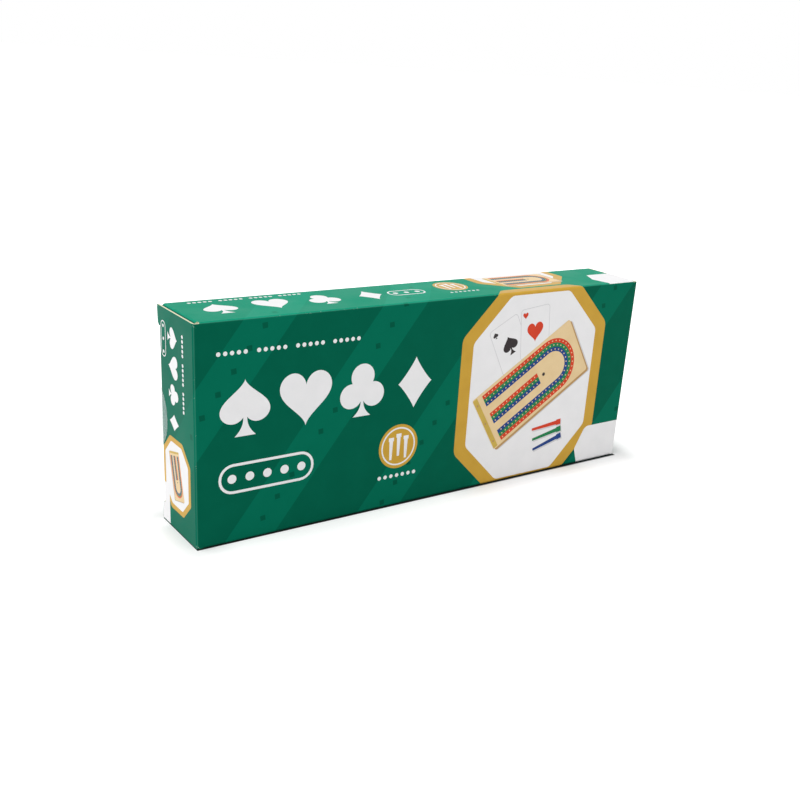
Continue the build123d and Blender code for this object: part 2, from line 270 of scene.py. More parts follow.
def printColour(where, along, girth, isTop, isEnd):
    # tone-on-tone slanted bands, with a row of small lozenges down each
    look = cardLook
    lean = math.radians(look["bandAngle"])
    across = minus(times(girth, math.cos(lean)), times(along, math.sin(lean)))
    down = plus(times(along, math.cos(lean)), times(girth, math.sin(lean)))
    inBand = fromMiddle(across, look["bandPitch"])
    band = below(inBand, look["bandWidth"] / 2, 0.12)
    row = fromMiddle(down, look["motifPitch"])
    lozenge = below(plus(inBand, row), look["motifSize"], 0.12)
    tonesWithPaintedLight = []
    for ground, stripe, motif in look["tonesWithPaintedLight"]:
        tonesWithPaintedLight.append(mixColour(lozenge, mixColour(band, ground, stripe), motif))
    # the ends and the top take lighter copies of the same green: painted light
    colour = mixColour(isTop, mixColour(isEnd, tonesWithPaintedLight[0], tonesWithPaintedLight[1]), tonesWithPaintedLight[2])
    # ink lies a little unevenly
    uneven = step(noise(where, 11.0, 4.0, 0.6), 0.35, 0.75)
    return mixColour(times(uneven, look["mottleShare"]), colour, look["mottle"])


def insideColour(where):
    # unbleached back of the board, with fibres and flecks
    fibres = step(noise(where, 0.8, 4.0, 0.7), 0.35, 0.7)
    flecks = step(noise(where, 0.35, 1.0), 0.68, 0.74)
    return mixColour(flecks, mixColour(fibres, *cardLook["inside"]), cardLook["insideFleck"])


def edgeColour(where):
    # cut edge of the card: cream, in thin plies
    return mixColour(noise(where, 0.25, 3.0, 0.6), *cardLook["rawEdge"])


def onLip(value, place):
    # the outer quarter of a millimetre before a plane; where a fold meets its flap the sheet runs on,
    # so this much of the square end between them is printed
    return step(value, abs(place) - 0.30, abs(place) - 0.20)


def sleeveFacing(point, normal):
    # how far the sleeve's surface faces outward, and where it is a cut edge instead
    x, y, z = point
    ny, nz = normal[1:]
    outY = times(ny, calc("SIGN", minus(y, middleY)))
    outZ = times(nz, calc("SIGN", minus(z, middleZ)))
    pastTube = step(size(x), carton["tubeX"] + 0.02, carton["tubeX"] + 0.06)
    atFront = below(y, front + 1.7)
    atBack = below(times(y, -1.0), 1.2 - back)
    outer = calc("MAXIMUM", atFront, atBack)
    cutUp = times(facesAlong(nz), outer)
    cutAcross = times(facesAlong(ny), minus(1.0, outer))
    cut = times(pastTube, calc("MAXIMUM", cutUp, cutAcross))
    atCrease = times(onLip(size(x), half), facesAlong(ny))
    facing = plus(plus(outY, outZ), times(atCrease, 2.0))
    return times(facing, minus(1.0, cut))


def flapFacing(point, normal, outward, hasEars, creases):
    nx, ny, nz = normal
    alongY = times(ny, outward[1])
    if hasEars:
        # only the tuck crease turns its print to the back, not the ears' cut edges
        inCrease = below(size(minus(point[2], middleZ)), middleZ - carton["earReach"] - 0.25)
        alongY = times(alongY, inCrease)
    facing = plus(plus(times(nx, outward[0]), alongY), times(nz, outward[2]))
    for axis, place, lipAxis, lipPlace in creases:
        away = size(minus(point[axis], place))
        lip = onLip(times(point[lipAxis], math.copysign(1, lipPlace)), lipPlace)
        atCrease = times(times(facesAlong(normal[axis]), lip), below(away, 0.12, 0.03))
        facing = plus(facing, times(atCrease, 2.0))
    return facing


def foldWear(where, point):
    # how near a fold is, from the distances in from the outer planes; cracked ink shows pale fibre there
    x, y, z = point
    inX = minus(half, size(x))
    inY = minus(depth / 2, size(minus(y, middleY)))
    inZ = minus(middleZ, size(minus(z, middleZ)))
    twoX = calc("MAXIMUM", inX, inY)
    twoY = calc("MAXIMUM", inY, inZ)
    twoZ = calc("MAXIMUM", inX, inZ)
    nearFold = calc("MINIMUM", calc("MINIMUM", twoX, twoY), twoZ)
    corner = calc("MAXIMUM", twoX, inZ)
    onFold = below(nearFold, 0.55, 0.30)
    cracks = noise(where, 1.1, 4.0, 0.65)
    patches = step(noise(where, 17.0, 1.0), 0.54, 0.62)
    specks = times(step(cracks, 0.61, 0.66), patches)
    scuffed = times(below(corner, 1.6, 0.8), step(cracks, 0.56, 0.64))
    worn = plus(times(times(onFold, specks), 0.8), times(scuffed, 0.6))
    return onFold, calc("MINIMUM", worn, 1.0)


def cardMaterial(name, outward=None, hasEars=False, creases=(), bleed=0):
    # outward is the printed side's direction; without it the piece is the sleeve, printed all round.
    # a crease is the axis and place of its plane, then those of its outer lip.
    # bleed is the way from the first crease to where the print ends; with 0 it runs all over
    material, shader, where = newMaterial(name)
    point, normal = splitPoint(where), facedWay(shader)
    if outward is None:
        facing = sleeveFacing(point, normal)
        low, high = 0.02, 0.05
    else:
        facing = flapFacing(point, normal, outward, hasEars, creases)
        low, high = 0.30, 0.40
    printed = step(facing, low, high)
    bare = step(times(facing, -1.0), low, high)
    ink = printColour(where, *sheetPlace(point, normal))
    if bleed:
        axis, place = creases[0][:2]
        past = plus(times(minus(point[axis], place), bleed), noise(where, 3.0))
        pastBleed = step(past, cardLook["bleed"], cardLook["bleed"] + 0.4)
        ink = mixColour(pastBleed, ink, cardLook["bleedWhite"])
    onFold, fibre = foldWear(where, point)
    # painted highlight along the folds, where a rounded fold would catch the light
    ink = mixColour(times(onFold, cardLook["foldHighlightPaintedShare"]), ink, cardLook["foldHighlightPainted"])
    ink = mixColour(fibre, ink, cardLook["wornFold"])
    colour = mixColour(printed, edgeColour(where), ink)
    colourIn(shader, mixColour(bare, colour, insideColour(where)))
    # the printed side is satin, the rest is dry
    sheen = step(noise(where, 22.0, 3.0), 0.3, 0.7)
    satin = plus(cardLook["roughness"], times(sheen, cardLook["sheen"]))
    dry = times(minus(1.0, printed), cardLook["dryness"])
    gloss = cardLook["flapGloss" if outward else "sleeveGloss"]
    plug(shader, {"Roughness": plus(dry, satin), "Specular IOR Level": gloss})
    cardRelief(shader, where, times(noise(where, 0.5, 3.0, 0.6), 0.012))
    return material


def dressCarton():
    radius, lean = carton["foldRadius"], math.radians(carton["tuckLean"])
    dress("carton_sleeve", cardMaterial("sleeveCard"))
    for side, sign in (("left", -1), ("right", 1)):
        end = sign * half
        tuckCrease = (0, end - sign * radius, 1, carton["tuckPlane"])
        frontCrease = (1, front + radius, 0, end)
        # half way between the end's direction and the tuck's, so both count as outward
        endOut = (sign * 0.75, 0.66, 0.0)
        endCard = cardMaterial(side + "EndFlapCard", endOut, True, (frontCrease, tuckCrease))
        dress(side + "_end_flap", endCard)
        tuckOut = (sign * math.sin(lean), math.cos(lean), 0.0)
        tuckCard = cardMaterial(side + "TuckFlapCard", tuckOut, False, (tuckCrease,), -sign)
        dress(side + "_tuck_flap", tuckCard)
        for level, place, inward in (("top", top - radius, -1), ("bottom", radius, 1)):
            name = side + level.title() + "DustFlapCard"
            crease = (2, place, 0, end)
            material = cardMaterial(name, (sign, 0.0, 0.0), False, (crease,), inward)
            dress(side + "_" + level + "_dust_flap", material)


dressCarton()
print("carton card dressed")


# ink printed over the green, as thin films that follow the sheet round its folds

inkLook = {
    "film": 0.006,
    "base": 0.007,
    "layer": 0.008,
    "foldCuts": 12,
    "gloss": 0.12,
}


def inkMaterial(name, colour, mottleColour, low=0.34):
    material, shader, where = newMaterial(name)
    mottle = step(noise(where, 9.0, 3.0), 0.3, 0.8)
    grainy = noise(where, 0.6, 2.0)
    share = plus(times(mottle, 0.5), times(grainy, 0.3))
    colourIn(shader, mixColour(share, colour, mottleColour))
    roughen(shader, low, low + 0.08, grainy)
    plug(shader, {"Specular IOR Level": inkLook["gloss"]})
    cardRelief(shader, where, times(grainy, 0.01))
    return material


inkColours = {
    # ground and mottle; the gold is also a little smoother
    "gold": (srgb(203, 160, 58), srgb(191, 147, 48), 0.30),
    "white": (srgb(237, 236, 237), srgb(229, 229, 230)),
    "red": (srgb(214, 66, 36), srgb(198, 54, 30)),
    "green": (srgb(28, 128, 76), srgb(20, 112, 64)),
    "blue": (srgb(30, 66, 134), srgb(22, 54, 114)),
    "wood": (srgb(232, 206, 160), srgb(219, 188, 138)),
    "woodEdge": (srgb(186, 148, 96), srgb(170, 130, 80)),
    "brass": (srgb(206, 176, 84), srgb(184, 152, 62)),
    "dark": (srgb(44, 38, 40), srgb(58, 50, 50)),
    "shade": (srgb(205, 204, 206), srgb(214, 213, 215)),
}
inks = {ink: inkMaterial(ink + "Ink", *look) for ink, look in inkColours.items()}


def makePanel(foot, along, up, body, rise, folds=(True, True)):
    # a flat side of the carton; up runs across to the fold that bounds it, out points away from the card
    along, up = Vector(along), Vector(up)
    return {
        "foot": Vector(foot),
        "along": along,
        "up": up,
        "out": along.cross(up),
        "body": body,
        "rise": rise,
        "folds": folds,
    }


tuck = carton["tuckPlane"]
panels = {
    "front": makePanel((-half, front, 0), (1, 0, 0), (0, 0, 1), "carton", top),
    "frontTurned": makePanel((-half, front, top), (0, 0, -1), (1, 0, 0), "carton", 2 * half, (False, True)),
    "top": makePanel((-half, front, top), (1, 0, 0), (0, 1, 0), "carton", depth),
    "back": makePanel((half, back, 0), (-1, 0, 0), (0, 0, 1), "carton", top),
    "bottom": makePanel((-half, back, 0), (1, 0, 0), (0, -1, 0), "carton", depth),
}
for side, foot, along in (("left", (-half, tuck, top), (0, 0, -1)), ("right", (half, tuck, 0), (0, 0, 1))):
    for kind, folds in (("End", (True, False)), ("Ear", (False, False))):
        panels[side + kind] = makePanel(foot, along, (0, -1, 0), side + "_end_flap", tuck - front, folds)


def onPanel(panel, a, b, lift):
    # a runs along the panel and b across it; past a fold, b runs on round the fold and over the next panel
    radius = carton["foldRadius"]
    start = panel["foot"] + panel["along"] * a
    up, out = panel["up"], panel["out"]
    over, under = b - (panel["rise"] - radius), radius - b
    if over > 0 and panel["folds"][1]:
        centre, way, past = start + up * (panel["rise"] - radius) - out * radius, up, over
    elif under > 0 and panel["folds"][0]:
        centre, way, past = start + up * radius - out * radius, -up, under
    else:
        return start + up * b + out * lift
    turn = min(past / radius, math.pi / 2)
    beyond = max(past - radius * math.pi / 2, 0.0)
    return centre + (out * math.cos(turn) + way * math.sin(turn)) * (radius + lift) - out * beyond


def signedArea(loop):
    return sum(p[0] * q[1] - q[0] * p[1] for p, q in zip(loop, loop[1:] + loop[:1])) / 2


def fillShape(build, outline, holes):
    # flat triangles inside the outline and outside the holes, all facing up
    loops = [outline if signedArea(outline) > 0 else outline[::-1]]
    loops += [hole if signedArea(hole) < 0 else hole[::-1] for hole in holes]
    flat = [Vector((a, b, 0.0)) for loop in loops for a, b in loop]
    verts = [build.verts.new(point) for point in flat]
    for corners in tessellate_polygon([[Vector((a, b, 0.0)) for a, b in loop] for loop in loops]):
        area = signedArea([(flat[c].x, flat[c].y) for c in corners])
        if abs(area) > 1e-9:
            build.faces.new([verts[c] for c in (corners if area > 0 else corners[::-1])])


def inkFilm(name, outlines, ink, panel, layer, holes=()):
    # outlines are filled flat, the first round its holes, cut along the folds and then laid on the card
    panel = panels[panel]
    build = bmesh.new()
    for place, outline in enumerate(outlines):
        fillShape(build, outline, holes if place == 0 else ())
    radius = carton["foldRadius"]
    arc = math.pi / 2 * radius
    for cut in range(inkLook["foldCuts"] + 1):
        past = arc * cut / inkLook["foldCuts"]
        levels = (radius - past, panel["rise"] - radius + past)
        for level, folds in zip(levels, panel["folds"]):
            if folds:
                parts = build.verts[:] + build.edges[:] + build.faces[:]
                bmesh.ops.bisect_plane(build, geom=parts, dist=0.0001,
                                       plane_co=(0, level, 0), plane_no=(0, 1, 0))
    bmesh.ops.triangulate(build, faces=[face for face in build.faces if len(face.verts) > 4])
    lift = inkLook["base"] + layer * inkLook["layer"]
    for vert in build.verts:
        vert.co = onPanel(panel, vert.co.x, vert.co.y, lift) * mm
    film = addMesh(name, build, inks[ink])
    thick = film.modifiers.new("thickness", "SOLIDIFY")
    thick.thickness = inkLook["film"] * mm
    thick.offset = 1.0
    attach(film, panel["body"])


# outlines for the printed design

def circleOutline(centre, radius, count):
    turns = [2 * math.pi * i / count for i in range(count)]
    return [(centre[0] + radius * math.cos(turn), centre[1] + radius * math.sin(turn)) for turn in turns]


def dotOutlines(places, radius, count):
    return [circleOutline(place, radius, count) for place in places]


cornerSteps = 6


def roundedOutline(corners, radii):
    # straight-sided outline with its corners rounded, each by its own radius
    outline = []
    for i, corner in enumerate(corners):
        if radii[i] == 0:
            outline.append(tuple(corner))
            continue
        here = Vector(corner)
        before = (Vector(corners[i - 1]) - here).normalized()
        after = (Vector(corners[(i + 1) % len(corners)]) - here).normalized()
        halfAngle = before.angle(after) / 2
        reach = radii[i] / math.tan(halfAngle)
        middle = here + (before + after).normalized() * (radii[i] / math.sin(halfAngle))
        start, end = here + before * reach - middle, here + after * reach - middle
        sweep = math.atan2(start.x * end.y - start.y * end.x, start.dot(end))
        for k in range(cornerSteps + 1):
            outline.append(tuple(middle + Matrix.Rotation(sweep * k / cornerSteps, 2) @ start))
    return outline


def moved(outline, centre, turn=0.0, scale=1.0):
    c, s = math.cos(turn) * scale, math.sin(turn) * scale
    return [(centre[0] + a * c - b * s, centre[1] + a * s + b * c) for a, b in outline]


def boxOutline(centre, width, height, radius=0.0):
    w, h = width / 2, height / 2
    corners = [(-w, -h), (w, -h), (w, h), (-w, h)]
    return moved(roundedOutline(corners, [radius] * 4), centre)


def octagonOutline(centre, halfWidth, halfHeight, cut, radius):
    w, h = halfWidth, halfHeight
    corners = [(w, cut - h), (w, h - cut), (w - cut, h), (cut - w, h)]
    corners += [(-a, -b) for a, b in corners]
    return moved(roundedOutline(corners, [radius] * 8), centre)


def strokeOutline(path, width):
    # band of even width along an open path
    left, right = [], []
    for i, here in enumerate(path):
        way = (Vector(path[min(i + 1, len(path) - 1)]) - Vector(path[max(i - 1, 0)])).normalized()
        off = Vector((-way.y, way.x)) * width / 2
        left.append(tuple(Vector(here) + off))
        right.append(tuple(Vector(here) - off))
    return left + right[::-1]


# the four card suits, each one unit high

def withFoot(outline, halfWidth, neck, flare, foot):
    # a stem that flares to a flat foot, under an outline that starts just right of the stem
    left = []
    for k in range(9):
        share = k / 8
        left.append((-halfWidth - (flare - halfWidth) * share ** 2.3, neck + (foot - neck) * share))
    right = [(-a, b) for a, b in left[::-1]]
    return outline + left + right


def heartCurve(turn):
    a = 16 * math.sin(turn) ** 3
    b = 13 * math.cos(turn) - 5 * math.cos(2 * turn) - 2 * math.cos(3 * turn) - math.cos(4 * turn)
    return a / 30, b / 30


def heartShape():
    turns = [2 * math.pi * i / 72 for i in range(72)]
    return [(a * 0.97, b * 1.02 + 0.085) for a, b in map(heartCurve, turns)]


def spadeShape():
    gap = 0.44
    turns = [gap + (2 * math.pi - 2 * gap) * i / 64 for i in range(65)]
    leaf = [(a * 0.88, 0.055 - b * 0.80) for a, b in map(heartCurve, turns)]
    return withFoot(leaf, leaf[0][0], leaf[0][1], 0.20, -0.5)


def clubShape():
    # three lobes, found by the farthest reach in each direction from their middle
    lobes = [((0.0, 0.255), 0.245), ((-0.235, -0.095), 0.235), ((0.235, -0.095), 0.235)]
    outline = []
    for i in range(145):
        turn = math.radians(-82 + 344 * i / 144)
        reach = 0.10
        for (a, b), radius in lobes:
            inLine = a * math.cos(turn) + b * math.sin(turn)
            aside = a * a + b * b - inLine * inLine
            if aside < radius * radius:
                reach = max(reach, inLine + math.sqrt(radius * radius - aside))
        outline.append((reach * math.cos(turn), reach * math.sin(turn)))
    return withFoot(outline, outline[0][0], outline[0][1], 0.19, -0.5)


def diamondShape():
    outline = []
    for i in range(48):
        turn = 2 * math.pi * i / 48
        c, s = math.cos(turn), math.sin(turn)
        outline.append((0.38 * math.copysign(abs(c) ** 2.25, c), 0.5 * math.copysign(abs(s) ** 2.25, s)))
    return outline


suits = {"Spade": spadeShape(), "Heart": heartShape(), "Club": clubShape(), "Diamond": diamondShape()}


def pegOutline(length, radius):
    # peg lying along the first axis, with its head to the right
    neck = length * 0.34
    return [(-length / 2, -radius * 0.45), (neck, -radius * 0.72), (neck, -radius), (length / 2, -radius),
            (length / 2, radius), (neck, radius), (neck, radius * 0.72), (-length / 2, radius * 0.45)]


# what is drawn in the windows: a board, two cards and three pegs

boardPicture = {
    "length": 80.0,
    "width": 38.0,
    "corner": 1.5,
    "lane": 2.6,
    "margin": 1.9,  # from the board's edge to its outer lane
    "holePitch": 2.9,
    "holeRadius": 0.45,
    "firstHole": 0.6,  # share of the pitch
    "trackStart": 7.0,  # from the hinge end
    "middleEnd": 34.0,  # this and the next two from the far end
    "finishAt": 30.0,
    "farTurn": 5.0,
    "finishRadius": 1.1,
    "hingeAt": 1.9,
    "hinge": (3.2, 1.4),  # its width, and how much shorter it is than the end
    "screws": (0.36, 0.7),  # spacing as a share of the board's width, and radius
    "edge": (0.9, -1.5),
    "shadow": (1.7, -2.2),
}


def picturePath(lane):
    # a long loop, open at the hinge end
    look = boardPicture
    rise = look["width"] / 2 - look["margin"] - 1.5 * look["lane"]
    centre = look["length"] / 2 - look["farTurn"] - rise - 1.5 * look["lane"]
    reach = rise + lane * look["lane"]
    turns = [math.pi * i / 20 for i in range(21)]
    start = look["trackStart"] - look["length"] / 2
    path = [(start, reach)]
    path += [(centre + reach * math.sin(turn), reach * math.cos(turn)) for turn in turns]
    return path + [(start, -reach)]


def holesAlong(path, pitch):
    places, travelled, target = [], 0.0, pitch * boardPicture["firstHole"]
    for first, second in zip(path, path[1:]):
        stride = math.dist(first, second)
        while target < travelled + stride:
            places.append(Vector(first).lerp(Vector(second), (target - travelled) / stride))
            target += pitch
        travelled += stride
    return places


def drawBoard(name, centre, turn, scale, panel, layer):
    look = boardPicture
    length, width = look["length"], look["width"]
    hinge = look["hingeAt"] - length / 2

    def laid(outline, shift=(0.0, 0.0)):
        return moved([(a + shift[0], b + shift[1]) for a, b in outline], centre, turn, scale)

    def laidDots(places, radius, count):
        return [laid(dot) for dot in dotOutlines(places, radius, count)]

    slab = boxOutline((0, 0), length, width, look["corner"])
    inkFilm(name + "Shadow", [laid(slab, look["shadow"])], "shade", panel, layer)
    inkFilm(name + "Edge", [laid(slab, look["edge"])], "woodEdge", panel, layer + 1)
    inkFilm(name + "Face", [laid(slab)], "wood", panel, layer + 2)
    across, shorter = look["hinge"]
    leaf = boxOutline((hinge, 0), across, width - shorter)
    inkFilm(name + "Hinge", [laid(leaf)], "brass", panel, layer + 3)
    spacing, radius = look["screws"]
    screws = laidDots([(hinge, i * width * spacing) for i in (-1, 0, 1)], radius, 10)
    inkFilm(name + "Screws", screws, "woodEdge", panel, layer + 4)
    for lane, ink in ((-1, "blue"), (0, "green"), (1, "red")):
        path, across = picturePath(lane), lane * look["lane"]
        middle = [(look["trackStart"] - length / 2, across), (length / 2 - look["middleEnd"], across)]
        bands = [laid(strokeOutline(line, look["lane"])) for line in (path, middle)]
        inkFilm(name + ink.title() + "Lane", bands, ink, panel, layer + 3)
        spots = holesAlong(path, look["holePitch"]) + holesAlong(middle, look["holePitch"])
        holes = laidDots(spots, look["holeRadius"], 8)
        inkFilm(name + ink.title() + "Holes", holes, "wood", panel, layer + 4)
    finish = laidDots([(length / 2 - look["finishAt"], 0)], look["finishRadius"], 16)
    inkFilm(name + "Finish", finish, "dark", panel, layer + 3)


cardPicture = {
    "width": 20.0,
    "height": 28.0,
    "corner": 1.8,
    "border": 0.35,
    "borderCorner": 2.1,
    "pip": 11.0,
    "cornerPip": 3.6,
    "cornerPipAt": (7.0, 10.4),
}


def drawCard(name, centre, turn, suit, ink, panel, layer):
    look = cardPicture
    width, height, more = look["width"], look["height"], 2 * look["border"]
    border = boxOutline((0, 0), width + more, height + more, look["borderCorner"])
    card = boxOutline((0, 0), width, height, look["corner"])
    inkFilm(name + "Border", [moved(border, centre, turn)], "shade", panel, layer)
    inkFilm(name + "Face", [moved(card, centre, turn)], "white", panel, layer + 1)
    a, b = look["cornerPipAt"]
    pips = [moved(suits[suit], (0.0, 0.0), 0.0, look["pip"])]
    for place, turned in (((-a, b), 0.0), ((a, -b), math.pi)):
        pips.append(moved(suits[suit], place, turned, look["cornerPip"]))
    inkFilm(name + "Pips", [moved(pip, centre, turn) for pip in pips], ink, panel, layer + 2)


pegPicture = {
    "length": 22.0,
    "radius": 1.7,
    "spacing": 5.4,
    "fan": 0.09,  # radians from one peg to the next
    "shade": (0.7, -0.9),
}


def drawPegs(name, centre, turn, panel, layer):
    look = pegPicture
    for i, ink in enumerate(("red", "green", "blue")):
        place = moved([(0.0, (1 - i) * look["spacing"])], centre, turn)[0]
        peg = moved(pegOutline(look["length"], look["radius"]), place, turn + (i - 1) * look["fan"])
        inkFilm(name + ink.title() + "PegShade", [moved(peg, look["shade"])], "shade", panel, layer)
        inkFilm(name + ink.title() + "Peg", [peg], ink, panel, layer + 1)


# the parts of the design, each drawn from its values in the panel's dictionary

def drawPegRow(name, panel, start, groups, pitch, radius):
    # open row of dots in fives, as on a scoring track
    places = [(start[0] + (group * 6 + i) * pitch, start[1]) for group in range(groups) for i in range(5)]
    inkFilm(name, dotOutlines(places, radius, 16), "white", panel, 0)


def drawSuits(name, panel, start, pitch, height):
    shapes = []
    for i, suit in enumerate(suits.values()):
        shapes.append(moved(suit, (start[0] + i * pitch, start[1]), 0.0, height))
    inkFilm(name, shapes, "white", panel, 0)


trackPicture = {
    # all as shares of the strip's width
    "line": 0.09,
    "corners": (0.49, 0.40),  # outer and inner
    "ends": 0.9,
    "dot": 0.15,
}


def drawTrack(name, panel, centre, length, width, count):
    # white outlined strip with holes
    look = trackPicture
    line = width * look["line"]
    outer = boxOutline(centre, length, width, width * look["corners"][0])
    inner = boxOutline(centre, length - 2 * line, width - 2 * line, width * look["corners"][1])
    pitch = (length - width * look["ends"]) / (count - 1)
    places = [(centre[0] + (i - (count - 1) / 2) * pitch, centre[1]) for i in range(count)]
    dots = dotOutlines(places, width * look["dot"], 24)
    inkFilm(name, [outer] + dots, "white", panel, 0, [inner])


badgePicture = {
    # all as shares of the badge's radius
    "ring": (0.87, 0.80),
    "pegs": ((-0.38, -0.07), (0.0, 0.07), (0.38, -0.07)),
    "pegLength": 1.02,
    "pegRadius": 0.13,
    "dotPitch": 0.30,
    "dotDrop": 1.34,
    "dotRadius": 0.09,
}


def drawBadge(name, panel, centre, radius):
    look = badgePicture
    outer, inner = (circleOutline(centre, radius * share, 56) for share in look["ring"])
    inkFilm(name + "Disc", [circleOutline(centre, radius, 56)], "gold", panel, 0)
    inkFilm(name + "Ring", [outer], "white", panel, 1, [inner])
    upright = moved(pegOutline(look["pegLength"], look["pegRadius"]), (0, 0), math.pi / 2)
    pegs = [moved(moved(upright, place), centre, 0.0, radius) for place in look["pegs"]]
    inkFilm(name + "Pegs", pegs, "white", panel, 1)
    places = moved([(i * look["dotPitch"], -look["dotDrop"]) for i in range(-3, 4)], centre, 0.0, radius)
    inkFilm(name + "Dots", dotOutlines(places, radius * look["dotRadius"], 16), "white", panel, 0)


windowPicture = {
    # all as shares of the frame's band
    "corners": (0.9, 0.7),  # outer and inner
    "innerCut": 0.586,  # keeps the band even round the cut corners
}


def drawWindow(name, panel, centre, halfWidth, halfHeight, cut, band, clip=None):
    # clip holds the lowest and highest edge of a window that runs off its panel
    outerCorner, innerCorner = (band * share for share in windowPicture["corners"])
    innerCut = cut - band * windowPicture["innerCut"]
    outer = octagonOutline(centre, halfWidth, halfHeight, cut, outerCorner)
    inner = octagonOutline(centre, halfWidth - band, halfHeight - band, innerCut, innerCorner)
    holes = [inner]
    if clip:
        outer, inner = ([(a, min(max(b, clip[0]), clip[1])) for a, b in edge] for edge in (outer, inner))
        holes = []
    inkFilm(name + "Frame", [outer], "gold", panel, 0, holes)
    inkFilm(name + "Ground", [inner], "white", panel, 1 if clip else 0)


partsOfDesign = {
    "PegRow": drawPegRow,
    "Suits": drawSuits,
    "Track": drawTrack,
    "Badge": drawBadge,
    "Window": drawWindow,
}


def drawParts(panel, design):
    for part, values in design.items():
        partsOfDesign[part](panel + part, panel, **values)


frontDesign = {
    "PegRow": {"start": (11.5, 93.0), "groups": 4, "pitch": 3.3, "radius": 1.05},
    "Suits": {"start": (24.5, 66.5), "pitch": 31.5, "height": 27.0},
    "Track": {"centre": (36.0, 32.5), "length": 50.0, "width": 15.0, "count": 5},
    "Badge": {"centre": (111.0, 33.0), "radius": 12.0},
    "Window": {"centre": (199.8, 53.9), "halfWidth": 52.0, "halfHeight": 60.0, "cut": 28.0, "band": 7.6},
}
frontPicture = {
    # places from the window's middle, and turns in degrees
    "spade": (-19.0, 25.5, 27),
    "heart": (-2.0, 31.0, 6),
    "board": (-0.4, 1.0, 31),
    "boardScale": 0.95,
    "pegs": (15.5, -31.0, 10),
}
frontPatch = {
    "left": 239.3,
    "tip": 9.4,
    "top": 22.7,
    "foot": 3.4,  # this and the next as far in from the left tip
    "shoulder": 7.0,
    "corners": [0, 0, 0, 4.5, 3.0],
    "short": 0.5,  # of the panel's foot, where it lies past the end fold
    "low": -0.6,  # round the bottom fold
    "pastEnd": 0.40,  # round the end fold, and short of its crease
}


def inFrontWindow(thing):
    centre, (a, b, turn) = frontDesign["Window"]["centre"], frontPicture[thing]
    return (centre[0] + a, centre[1] + b), math.radians(turn)


def drawFront():
    drawParts("front", frontDesign)
    drawCard("frontSpadeCard", *inFrontWindow("spade"), "Spade", "dark", "front", 1)
    drawCard("frontHeartCard", *inFrontWindow("heart"), "Heart", "red", "front", 4)
    drawBoard("frontBoard", *inFrontWindow("board"), frontPicture["boardScale"], "front", 7)
    drawPegs("frontPicture", *inFrontWindow("pegs"), "front", 1)
    # bare white patch in the corner, carried round the bottom fold and the end fold
    look = frontPatch
    left, low, high = look["left"], look["low"], look["top"]
    split, edge, foot = half + carton["tubeX"], 2 * half + look["pastEnd"], top - look["short"]
    patch = [(left + look["foot"], low), (split, low), (split, high)]
    patch += [(left + look["shoulder"], high), (left, look["tip"])]
    inkFilm("frontPatch", [roundedOutline(patch, look["corners"])], "white", "front", 1)
    corner = [(top - high, split), (foot, split), (foot, edge), (top - high, edge)]
    inkFilm("frontPatchCorner", [corner], "white", "frontTurned", 1)


topDesign = {
    "PegRow": {"start": (13.0, 34.5), "groups": 4, "pitch": 2.6, "radius": 0.95},
    "Suits": {"start": (22.0, 20.5), "pitch": 27.0, "height": 17.5},
    "Track": {"centre": (124.5, 20.0), "length": 22.0, "width": 9.5, "count": 3},
    "Badge": {"centre": (156.0, 24.5), "radius": 9.5},
    "Window": {"centre": (206.0, 44.0), "halfWidth": 31.0, "halfHeight": 36.5, "cut": 17.0, "band": 5.0,
               "clip": (8.4, 39.9)},
}
topPatch = [(251.6, 0.3), (271.0, 0.3), (271.0, 2.2), (272.5, 2.2)]
topPatch += [(272.5, 22.3), (254.4, 22.3), (249.0, 12.0)]


def drawTop():
    drawParts("top", topDesign)
    drawBoard("topBoard", (206.0, 24.8), 0.0, 0.52, "top", 2)
    inkFilm("topPatch", [roundedOutline(topPatch, [0, 0, 0, 0, 0, 1.5, 1.5])], "white", "top", 0)


backDesign = {
    "PegRow": {"start": (40.0, 90.0), "groups": 10, "pitch": 3.3, "radius": 1.05},
    "Suits": {"start": (71.0, 62.0), "pitch": 44.0, "height": 30.0},
    "Track": {"centre": (137.0, 25.0), "length": 190.0, "width": 17.0, "count": 15},
}

bottomDesign = {
    "Suits": {"start": (110.0, 20.0), "pitch": 18.0, "height": 12.0},
    "PegRow": {"start": (14.0, 20.0), "groups": 4, "pitch": 3.0, "radius": 1.0},
}

# turned to read from the side, with a bare patch in the tuck's lower corner and on the ear beside it
endDesign = {
    "PegRow": {"start": (9.0, 26.4), "groups": 3, "pitch": 2.2, "radius": 0.85},
    "Suits": {"start": (12.5, 15.2), "pitch": 13.4, "height": 10.6},
    "Track": {"centre": (15.0, 4.9), "length": 17.0, "width": 5.4, "count": 3},
    "Window": {"centre": (79.0, 16.6), "halfWidth": 18.6, "halfHeight": 15.9, "cut": 8.8, "band": 2.6},
}
endPatch = [(87.0, 0.22), (97.5, 0.22), (97.5, 1.5), (107.4, 1.5), (107.4, 7.2), (87.0, 7.2)]
earPatch = [(98.2, 1.5), (98.2, 0.25), (99.5, -1.1), (107.0, -1.65), (107.4, -1.3), (107.4, 1.5)]


def drawEnd(side):
    end = side + "End"
    drawParts(end, endDesign)
    drawBoard(end + "Board", endDesign["Window"]["centre"], math.radians(14), 0.30, end, 1)
    inkFilm(end + "Patch", [roundedOutline(endPatch, [0, 0, 0, 0, 0, 3.0])], "white", end, 1)
    inkFilm(end + "EarPatch", [earPatch], "white", side + "Ear", 1)


drawFront()
drawTop()
drawParts("back", backDesign)
drawParts("bottom", bottomDesign)
drawEnd("left")
drawEnd("right")
print("carton printed")


# wafer seals: thin clear film with a faint milky glue layer

sealLook = {
    "film": srgb(186, 212, 208),
    "cloud": srgb(200, 222, 217),
    "opacity": 0.26,
    "atBend": 0.05,
    "bend": (1.2, 1.8),  # from the corner, where it begins and ends to show
}


